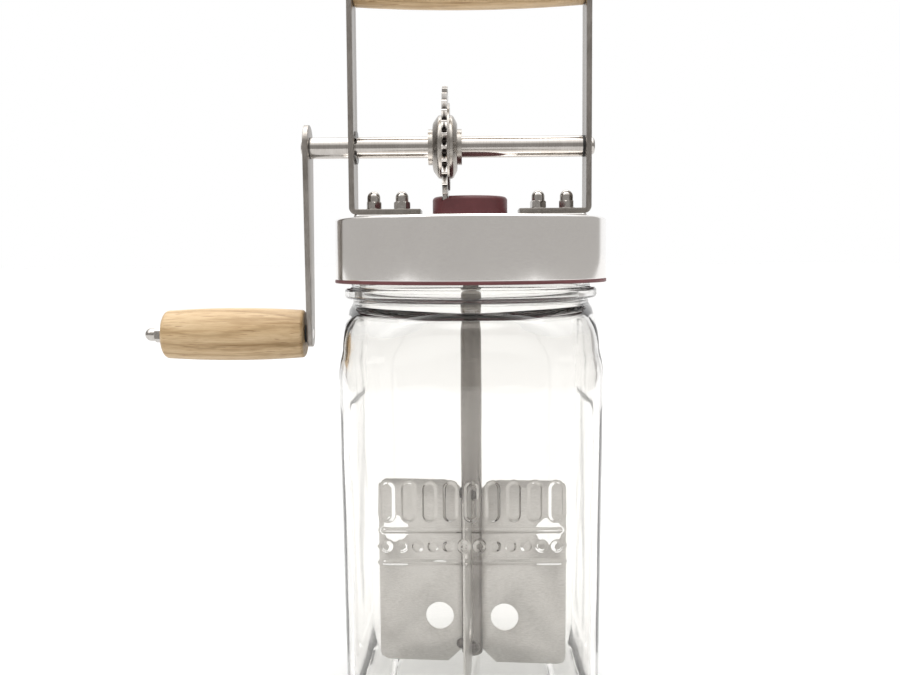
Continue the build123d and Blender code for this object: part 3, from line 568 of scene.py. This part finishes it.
def jar():
    """One skin: from the middle of the underside, up the outside, over the lip and down the inside."""
    angles = jar_angles()
    steady = lambda r: (lambda t, z: r)

    def ring(radius, height):
        return [(radius(t, height) * math.cos(t), radius(t, height) * math.sin(t), height) for t in angles]

    rings = [[(0, 0, 2.4)]]
    base = ((58, 2.4), (46, 2.3), (34, 2.2), (25, 2.0), (22.5, 1.4), (20.5, 0.5), (18.5, 0.0), (16, 0.0))
    rings += [ring(under_floor(inset), z) for inset, z in base]
    for k in range(1, 11):
        turn = math.pi / 2 * k / 10
        rings.append(ring(outside_wall(HEEL_R * (1 - math.sin(turn))), HEEL_R * (1 - math.cos(turn))))
    levels = [18, 24, 30, 32, 32.7, 33.3, 34, 34.7, 35.3, 36, 40, 50, 60, 70, 80, 87]
    levels += [91 + 0.6 * i for i in range(80)]
    levels += [142, 150, 160, 168, 169.6, 170.3, 171, 171.6, 172.2, 172.9, 173.6, 176, 182, 190]
    rings += [ring(outside_wall(0), z) for z in levels]
    for k in range(31):
        z = SHOULDER_TOP - SHOULDER_R + SHOULDER_R * math.sin(math.pi / 2 * k / 30)
        rings.append(ring(shoulder(0, NECK_R), z))
    collar = rounded([
        (66.6, 225.0), (NECK_R, 227.4, 1.2), (71.2, 227.6, 1.8), (71.2, 233.2, 1.8),
        (THREAD_ROOT_R, 233.4, 1.0), (THREAD_ROOT_R, 237),
    ], closed=False)
    rings += [ring(steady(r), z) for r, z in collar]
    rings += [ring(thread, 238 + 0.75 * i) for i in range(34)]
    lip = rounded([
        (THREAD_ROOT_R, 263.6), (THREAD_ROOT_R, LIP_Z, 1.6), (62, LIP_Z, 1.6), (62, 262),
    ], closed=False)
    rings += [ring(steady(r), z) for r, z in lip]
    rings += [ring(steady(NECK_INSIDE_R), z) for z in (250, 238, 228, 221)]
    for k in range(21):
        drop = (SHOULDER_R - JAR_WALL) * math.sin(math.pi / 2 * (1 - k / 20))
        rings.append(ring(shoulder(JAR_WALL, NECK_INSIDE_R), SHOULDER_TOP - SHOULDER_R + drop))
    rings += [ring(inside_wall(0), z) for z in (190, 180, 165, 150, 135, 120, 105, 90, 75, 60, 45, 30, 24)]
    for k in range(9):
        turn = math.pi / 2 * k / 8
        height = JAR_FLOOR_Z + INNER_HEEL_R * (1 - math.sin(turn))
        rings.append(ring(inside_wall(INNER_HEEL_R * (1 - math.cos(turn))), height))
    rings += [ring(inside_wall(inset), z) for inset, z in ((20, 8.0), (34, 8.3), (48, 8.8))]
    rings.append([(0, 0, 9.0)])
    return skin(rings)


piece("jar_of_glass", jar(), GLASS, "jar", ["glass_jar"], sharp=60)


# ---------------------------------------------------------------- the lid and its frame

SHELL = 0.9
SEAT_CENTRE_X = 45.5
STRAP = 3.0
STRAP_HALF_WIDTH = 11
STRAP_BEND = 4.0
BEND_R = STRAP_BEND - STRAP / 2     # to the middle of the strap's thickness
FOOT = 40
FOOT_HOLES = (13, 29)               # from the strap's outer face
BOLT_HOLE_R = 2.65


def lid_shell():
    """Pressed shell: shallow dome, rounded rim and skirt, with a raised seat under each foot of the frame."""
    outer, low, seat_z = SHELL_HIGH.x, SHELL_LOW.z, SHELL_HIGH.z
    rim, dome = seat_z - 2.6, seat_z - 0.8
    section = rounded([
        (outer - SHELL, low, 0.3), (outer, low, 0.4), (outer, rim, 1.6), (27, dome, 20), (21.2, dome),
        (21.2, dome - SHELL), (27, dome - SHELL, 20), (outer - SHELL, rim - SHELL, 0.6),
    ], steps=8)
    seat = rounded([(-19.6, -12.6, 4), (19.6, -12.6, 4), (19.6, 12.6, 4), (-19.6, 12.6, 4)], steps=10)
    places = [Matrix.Translation((side * SEAT_CENTRE_X, 0, seat_z - 2.8)) for side in (-1, 1)]
    seats = [plate([seat], 2.8, 0.7, place) for place in places]
    return joined(lathe(section, n=256), *seats)


piece("lid_steel_shell", lid_shell(), SHELL_STEEL, "lid", ["lid_shell"], sharp=40)


def strap_blank(side, reach, bend):
    """The strap cut flat, along +Y from its foot's end, with its holes."""
    half = STRAP_HALF_WIDTH
    length = reach + bend + (STRAP_HIGH.z - SEAT_Z - STRAP_BEND)
    up = lambda z: reach + bend + (z - SEAT_Z - STRAP_BEND)
    shaft_hole = 6.05 if side < 0 else 4.05
    turns = [math.pi * i / 28 for i in range(29)]
    outline = [(-half, 0), (half, 0)]
    outline += [(half * math.cos(a), length - half + half * math.sin(a)) for a in turns]
    holes = [circle(0, FRAME_OUT - 27.5 - h, BOLT_HOLE_R, 32) for h in FOOT_HOLES]
    holes += [circle(0, up(SHAFT_Z), shaft_hole, 48), circle(0, up(TOP_GRIP_Z), BOLT_HOLE_R, 32)]
    return plate([outline, *holes], STRAP, 0.35)


def strap(side):
    """Bent strap: the flat blank, folded up at the lid's edge."""
    reach = FOOT - STRAP_BEND
    bend = BEND_R * math.pi / 2
    verts, faces = strap_blank(side, reach, bend)
    bm = bmesh.new()
    made = [bm.verts.new(v) for v in verts]
    for f in faces:
        bm.faces.new([made[i] for i in f])
    for k in range(13):
        cut = (0, reach + bend * k / 12, 0)
        everything = bm.verts[:] + bm.edges[:] + bm.faces[:]
        bmesh.ops.bisect_plane(bm, geom=everything, plane_co=cut, plane_no=(0, 1, 0))
    bm.verts.index_update()
    folded = []
    for v in bm.verts:
        across, along, lift = v.co.x, v.co.y, v.co.z - STRAP / 2
        if along <= reach:
            x, z = FRAME_OUT - FOOT + along, SEAT_Z + STRAP / 2 + lift
        elif along <= reach + bend:
            turn = (along - reach) / BEND_R
            x = FRAME_OUT - STRAP_BEND + (BEND_R - lift) * math.sin(turn)
            z = SEAT_Z + STRAP_BEND - (BEND_R - lift) * math.cos(turn)
        else:
            x, z = FRAME_OUT - STRAP / 2 - lift, SEAT_Z + STRAP_BEND + along - reach - bend
        folded.append((side * x, across, z))
    found = folded, [[v.index for v in f.verts] for f in bm.faces]
    bm.free()
    return found


for side, name in ((1, "right"), (-1, "left")):
    piece(f"strap_{name}", strap(side), STRAP_STEEL, "lid", [f"frame_{name}"], sharp=28)


NUT_HALF_FLATS = 4.0
NUT_DOME_R = 3.72
NUT_DOME_Z = 6.28


def cap_nut():
    """Domed nut standing on z = 0: bevelled hexagon, neck and dome."""
    turns = [TAU * i / 96 for i in range(96)]
    hexagon = lambda t: NUT_HALF_FLATS / math.cos((t + math.pi / 6) % (math.pi / 3) - math.pi / 6)
    levels = [(3.0, 0), (4.15, 0), (4.35, 0.12), (4.62, 0.35), (4.62, 2.0), (4.62, 3.45), (4.30, 3.8)]
    levels += [(4.05, 3.97), (3.85, 4.0), (NUT_DOME_R, 4.05), (NUT_DOME_R, 6.0)]
    rises = [k * math.pi / 24 for k in range(12)]
    levels += [(NUT_DOME_R * math.cos(a), NUT_DOME_Z + NUT_DOME_R * math.sin(a)) for a in rises]
    rings = [[(0, 0, 0)]]
    for r, z in levels:
        reach = [min(r, hexagon(t)) for t in turns]
        rings.append([(k * math.cos(t), k * math.sin(t), z) for k, t in zip(reach, turns)])
    rings.append([(0, 0, NUT_DOME_Z + NUT_DOME_R)])
    return skin(rings)


def foot_nuts():
    """The four nuts on the frame's feet, each stopped at its own angle."""
    nuts = []
    for i, x in enumerate(FOOT_X):
        place = Matrix.Translation((x, 0, WASHER_Z + WASHER)) @ Matrix.Rotation(0.35 * i + 0.2, 4, "Z")
        nuts.append(moved(cap_nut(), place))
    return joined(*nuts)


def rod_nuts():
    """The two nuts on the ends of the carrying grip's rod."""
    nuts = []
    for side in (-1, 1):
        facing = Matrix.Rotation(side * math.pi / 2, 4, "Y")
        nuts.append(moved(cap_nut(), Matrix.Translation((side * FRAME_OUT, 0, TOP_GRIP_Z)) @ facing))
    return joined(*nuts)


WASHER = 0.5
WASHER_Z = SEAT_Z + STRAP
FOOT_X = [side * (FRAME_OUT - h) for side in (-1, 1) for h in FOOT_HOLES]
piece("domed_nuts", foot_nuts(), BRIGHT_STEEL, "lid", ["frame_cap_nuts"], sharp=25)
flat_ring = rounded([(2.55, 0, 0.1), (5, 0, 0.15), (5, WASHER, 0.15), (2.55, WASHER, 0.1)], steps=2)
washers = joined(*[lathe(flat_ring, n=64, at=(x, 0, WASHER_Z)) for x in FOOT_X])
piece("nut_washers", washers, BRIGHT_STEEL, "lid", ["frame_washers"])
piece("top_rod_nuts", rod_nuts(), BRIGHT_STEEL, "lid", ["top_grip_nuts"], sharp=25)


def barrel(x0, x1, mid_r, end_r, bore, round0, round1, z):
    """Turned wooden grip along X, fullest in the middle, with eased ends and a bore."""
    n = 40
    shares = [i / n for i in range(n + 1)]
    crown = [(end_r + (mid_r - end_r) * (1 - (2 * k - 1) ** 2), x0 + (x1 - x0) * k) for k in shares]
    crown = [c for c in crown if x0 + round0 < c[1] < x1 - round1]
    left = rounded([(bore, x0), (end_r + 0.1, x0, round0), crown[0]], closed=False, steps=8)[:-1]
    right = rounded([crown[-1], (end_r + 0.1, x1, round1), (bore, x1)], closed=False, steps=8)[1:]
    return lathe(left + crown + right, "X", 96, (0, 0, z))


top_grip = barrel(TOP_LOW.x, TOP_HIGH.x, 15, 12.8, 2.6, 2.0, 2.0, TOP_GRIP_Z)
crank_grip = barrel(GRIP_LOW.x, GRIP_HIGH.x, 15, 13.5, 3.05, 4.5, 2.5, CRANK_GRIP_Z)
piece("top_wooden_grip", top_grip, TOP_WOOD, "lid", ["top_grip"], sharp=50)
piece("crank_wooden_grip", crank_grip, CRANK_WOOD, "turning_grip", ["crank_grip"], sharp=50)


# ---------------------------------------------------------------- the crank

YZ_TO_X = Matrix(((0, 0, 1, 0), (1, 0, 0, 0), (0, 1, 0, 0), (0, 0, 0, 1)))


def in_yz(x, z=0.0):
    """Stands up a plate drawn in XY: its X runs along +Y, its Y along +Z, its thickness along +X from x."""
    return Matrix.Translation((x, 0, z)) @ YZ_TO_X


ARM_TOP_R = 11
ARM_END_R = 6.5


def crank_arm():
    """Tapering bar with round ends: two arcs joined by straight edges that touch both."""
    top_z, end_z = ARM_HIGH.z - ARM_TOP_R, ARM_LOW.z + ARM_END_R
    lean = math.asin((ARM_TOP_R - ARM_END_R) / (top_z - end_z))
    over = [-lean + (math.pi + 2 * lean) * i / 32 for i in range(33)]
    under = [math.pi + lean + (math.pi - 2 * lean) * i / 24 for i in range(25)]
    outline = [(ARM_TOP_R * math.cos(a), top_z + ARM_TOP_R * math.sin(a)) for a in over]
    outline += [(ARM_END_R * math.cos(a), end_z + ARM_END_R * math.sin(a)) for a in under]
    rod_hole = circle(0, CRANK_GRIP_Z, 3.02, 32)
    return plate([outline, rod_hole], ARM_HIGH.x - ARM_LOW.x, 0.4, in_yz(ARM_LOW.x))


piece("crank_arm_bar", crank_arm(), STRAP_STEEL, "crank", ["crank_arm"], sharp=28)


WHEEL_TEETH = 30
ROOT_R = 28.896
TIP_R = 33.6
ROOT_HALF = 2.187       # half of a tooth's thickness, at its root and at its tip
TIP_HALF = 0.588


def wheel():
    """Toothed wheel: flared teeth with eased tips and roots."""
    rise = ((ROOT_R, -ROOT_HALF, 0.7), (TIP_R, -TIP_HALF, 0.45))
    fall = ((TIP_R, TIP_HALF, 0.45), (ROOT_R, ROOT_HALF, 0.7))
    points = []
    for i in range(WHEEL_TEETH):
        middle = -math.pi / 2 + i * TAU / WHEEL_TEETH
        for r, half, ease_r in rise + fall:
            angle = middle + math.asin(half / r)
            points.append((r * math.cos(angle), r * math.sin(angle), ease_r))
    outline = rounded(points, steps=3)
    bore = circle(0, 0, 6.0, 64)
    return plate([outline, bore], WHEEL_HIGH.x - WHEEL_LOW.x, 0.3, in_yz(WHEEL_LOW.x, SHAFT_Z))


WHEEL_STEEL = metal(
    "wheel_steel", (0.46, 0.435, 0.41), (0.66, 0.635, 0.61), (0.16, 0.26), (1, 1, 1), 300, 0.04, 40)
# Painted shade darkens the wheel's rim between its teeth.
paint_gap_shade(WHEEL_STEEL, 0.0292, (WHEEL_LOW.x + WHEEL_HIGH.x) / 2 * MM, SHAFT_Z * MM)
piece("toothed_wheel", wheel(), WHEEL_STEEL, "crank", ["drive_wheel"], sharp=28)


BLADE = 1.2
BLADE_TURN = -4.4       # degrees that the blades stand off the jar's flats at rest
BLADE_IN_R = 5.7
BLADE_TIP_R = 55
BLADE_CORNER = 4.8
BLADE_HOLE_R = 8


def blade_shape():
    """One blade's outline, in radius and height, and its two holes."""
    low, high = BLADE_LOW.z, BLADE_HIGH.z
    outline = rounded([
        (BLADE_IN_R, low + 8), (14, low, 0.6), (BLADE_TIP_R, low, BLADE_CORNER),
        (BLADE_TIP_R, high, BLADE_CORNER), (15, high, 0.6), (BLADE_IN_R, high - 5),
    ])
    return [outline, circle(45, high - 29.5, BLADE_HOLE_R, 56), circle(18.9, low + 27, BLADE_HOLE_R, 56)]


XZ_PLATE = Matrix(((1, 0, 0, 0), (0, 0, -1, 0), (0, 1, 0, 0), (0, 0, 0, 1)))
for i, name in enumerate(("right", "rear", "left", "front")):
    turn = Matrix.Rotation(math.radians(BLADE_TURN + 90 * i), 4, "Z")
    shape = plate(blade_shape(), BLADE, 0.2, turn @ Matrix.Translation((0, BLADE / 2, 0)) @ XZ_PLATE)
    piece(f"blade_{name}", shape, BLADE_STEEL, "paddle", [f"paddle_blade_{name}"], sharp=28)


# ---------------------------------------------------------------- CAD nodes that stay, with their materials

KEPT = {
    MAROON: ["lid_liner", "gear_cover"],
    RUBBER: ["lid_gasket"],
    NYLON: ["paddle_bush", "pinion_washer"],
    BLACK: ["shaft_end_washer", "arm_washer", "grip_inner_washer"],
    SPRING_STEEL: ["retaining_clip", "paddle_snap_ring"],
    SHAFT_STEEL: ["crank_shaft", "grip_rod"],
    GEAR_STEEL: ["wheel_backing", "hub_shell_left", "hub_shell_right", "hub_flange_left", "hub_flange_right",
                 "wheel_key", "crown_pinion", "pinion_pin"],
    PADDLE_STEEL: ["paddle_shaft"],
    WELD_STEEL: ["blade_welds"],
    BRIGHT_STEEL: ["frame_bolts", "top_grip_rod", "shaft_end_screw", "arm_screw", "grip_outer_washer",
                   "grip_cap_nut"],
}
for material, names in KEPT.items():
    for name in names:
        NODES[name].data.materials.clear()
        NODES[name].data.materials.append(material)


# ---------------------------------------------------------------- floor, light and camera

def floor():
    """Pale floor, short in front and widening behind, so that bright steel mirrors a plain room."""
    mesh = bpy.data.meshes.new("floor")
    outline = [(-2, -1.5, 0), (2, -1.5, 0), (2, 0.6, 0), (24, 30, 0), (-24, 30, 0), (-2, 0.6, 0)]
    mesh.from_pydata(outline, [], [range(len(outline))])
    material, tree, shader = new_material("pale_floor")
    shader.inputs["Base Color"].default_value = (0.50, 0.50, 0.50, 1)
    shader.inputs["Roughness"].default_value = 0.7
    shader.inputs["Specular IOR Level"].default_value = 0.0
    shader.inputs["Emission Color"].default_value = (1, 1, 1, 1)
    shader.inputs["Emission Strength"].default_value = 0.30
    mesh.materials.append(material)
    obj = bpy.data.objects.new("floor", mesh)
    obj.location.z = -0.0005
    bpy.context.scene.collection.objects.link(obj)


def lamp(name, place, target, size, power):
    light = bpy.data.lights.new(name, "AREA")
    light.shape = "RECTANGLE"
    light.size, light.size_y = size
    light.energy = power
    obj = bpy.data.objects.new(name, light)
    obj.location = place
    obj.rotation_euler = (Vector(target) - Vector(place)).to_track_quat("-Z", "Y").to_euler()
    bpy.context.scene.collection.objects.link(obj)


def surroundings():
    """Grey room with a white backdrop towards +Y and a bright ceiling."""
    world = bpy.data.worlds.new("studio")
    world.use_nodes = True
    bpy.context.scene.world = world
    tree = world.node_tree
    background = next(n for n in tree.nodes if n.type == "BACKGROUND")
    coords = tree.nodes.new("ShaderNodeTexCoord")
    split = tree.nodes.new("ShaderNodeSeparateXYZ")
    tree.links.new(coords.outputs["Generated"], split.inputs[0])
    backdrop = spread(tree, split.outputs["Y"], 0, 1, 0.72, 0.80)
    shade = blend_colours(tree, "MIX", backdrop, (0.48, 0.465, 0.45), (1.0, 1.0, 1.0))
    overhead = spread(tree, split.outputs["Z"], 0, 1, 0.40, 0.85)
    sky = blend_colours(tree, "MIX", overhead, shade, (2.1, 2.08, 2.05))
    tree.links.new(sky, background.inputs["Color"])
    background.inputs["Strength"].default_value = 1.0


MIDDLE = (0, 0, 0.25)
floor()
surroundings()
lamp("left_softbox", (-2.2, -1.4, 2.6), MIDDLE, (2.0, 2.0), 12)
lamp("right_softbox", (2.2, -1.2, 2.6), MIDDLE, (2.0, 2.0), 8)
lamp("top_softbox", (0.0, 0.1, 2.4), (0, 0, 0.3), (2.4, 2.4), 34)

camera = bpy.data.cameras.new("camera")
camera.sensor_width = 36
camera.lens = 40.64
camera.clip_start = 0.02
camera.clip_end = 200
camera_object = bpy.data.objects.new("camera", camera)
camera_object.location = (0, -0.580, 0.250)
camera_object.rotation_mode = "XYZ"
heading, downward, roll = (math.radians(a) for a in (1.17, 4.5, -0.4))
turned = Matrix.Rotation(heading, 4, "Z") @ Matrix.Rotation(math.pi / 2 - downward, 4, "X")
camera_object.rotation_euler = (turned @ Matrix.Rotation(roll, 4, "Z")).to_euler()
bpy.context.scene.collection.objects.link(camera_object)
bpy.context.scene.camera = camera_object
bpy.context.scene.view_settings.view_transform = "Standard"
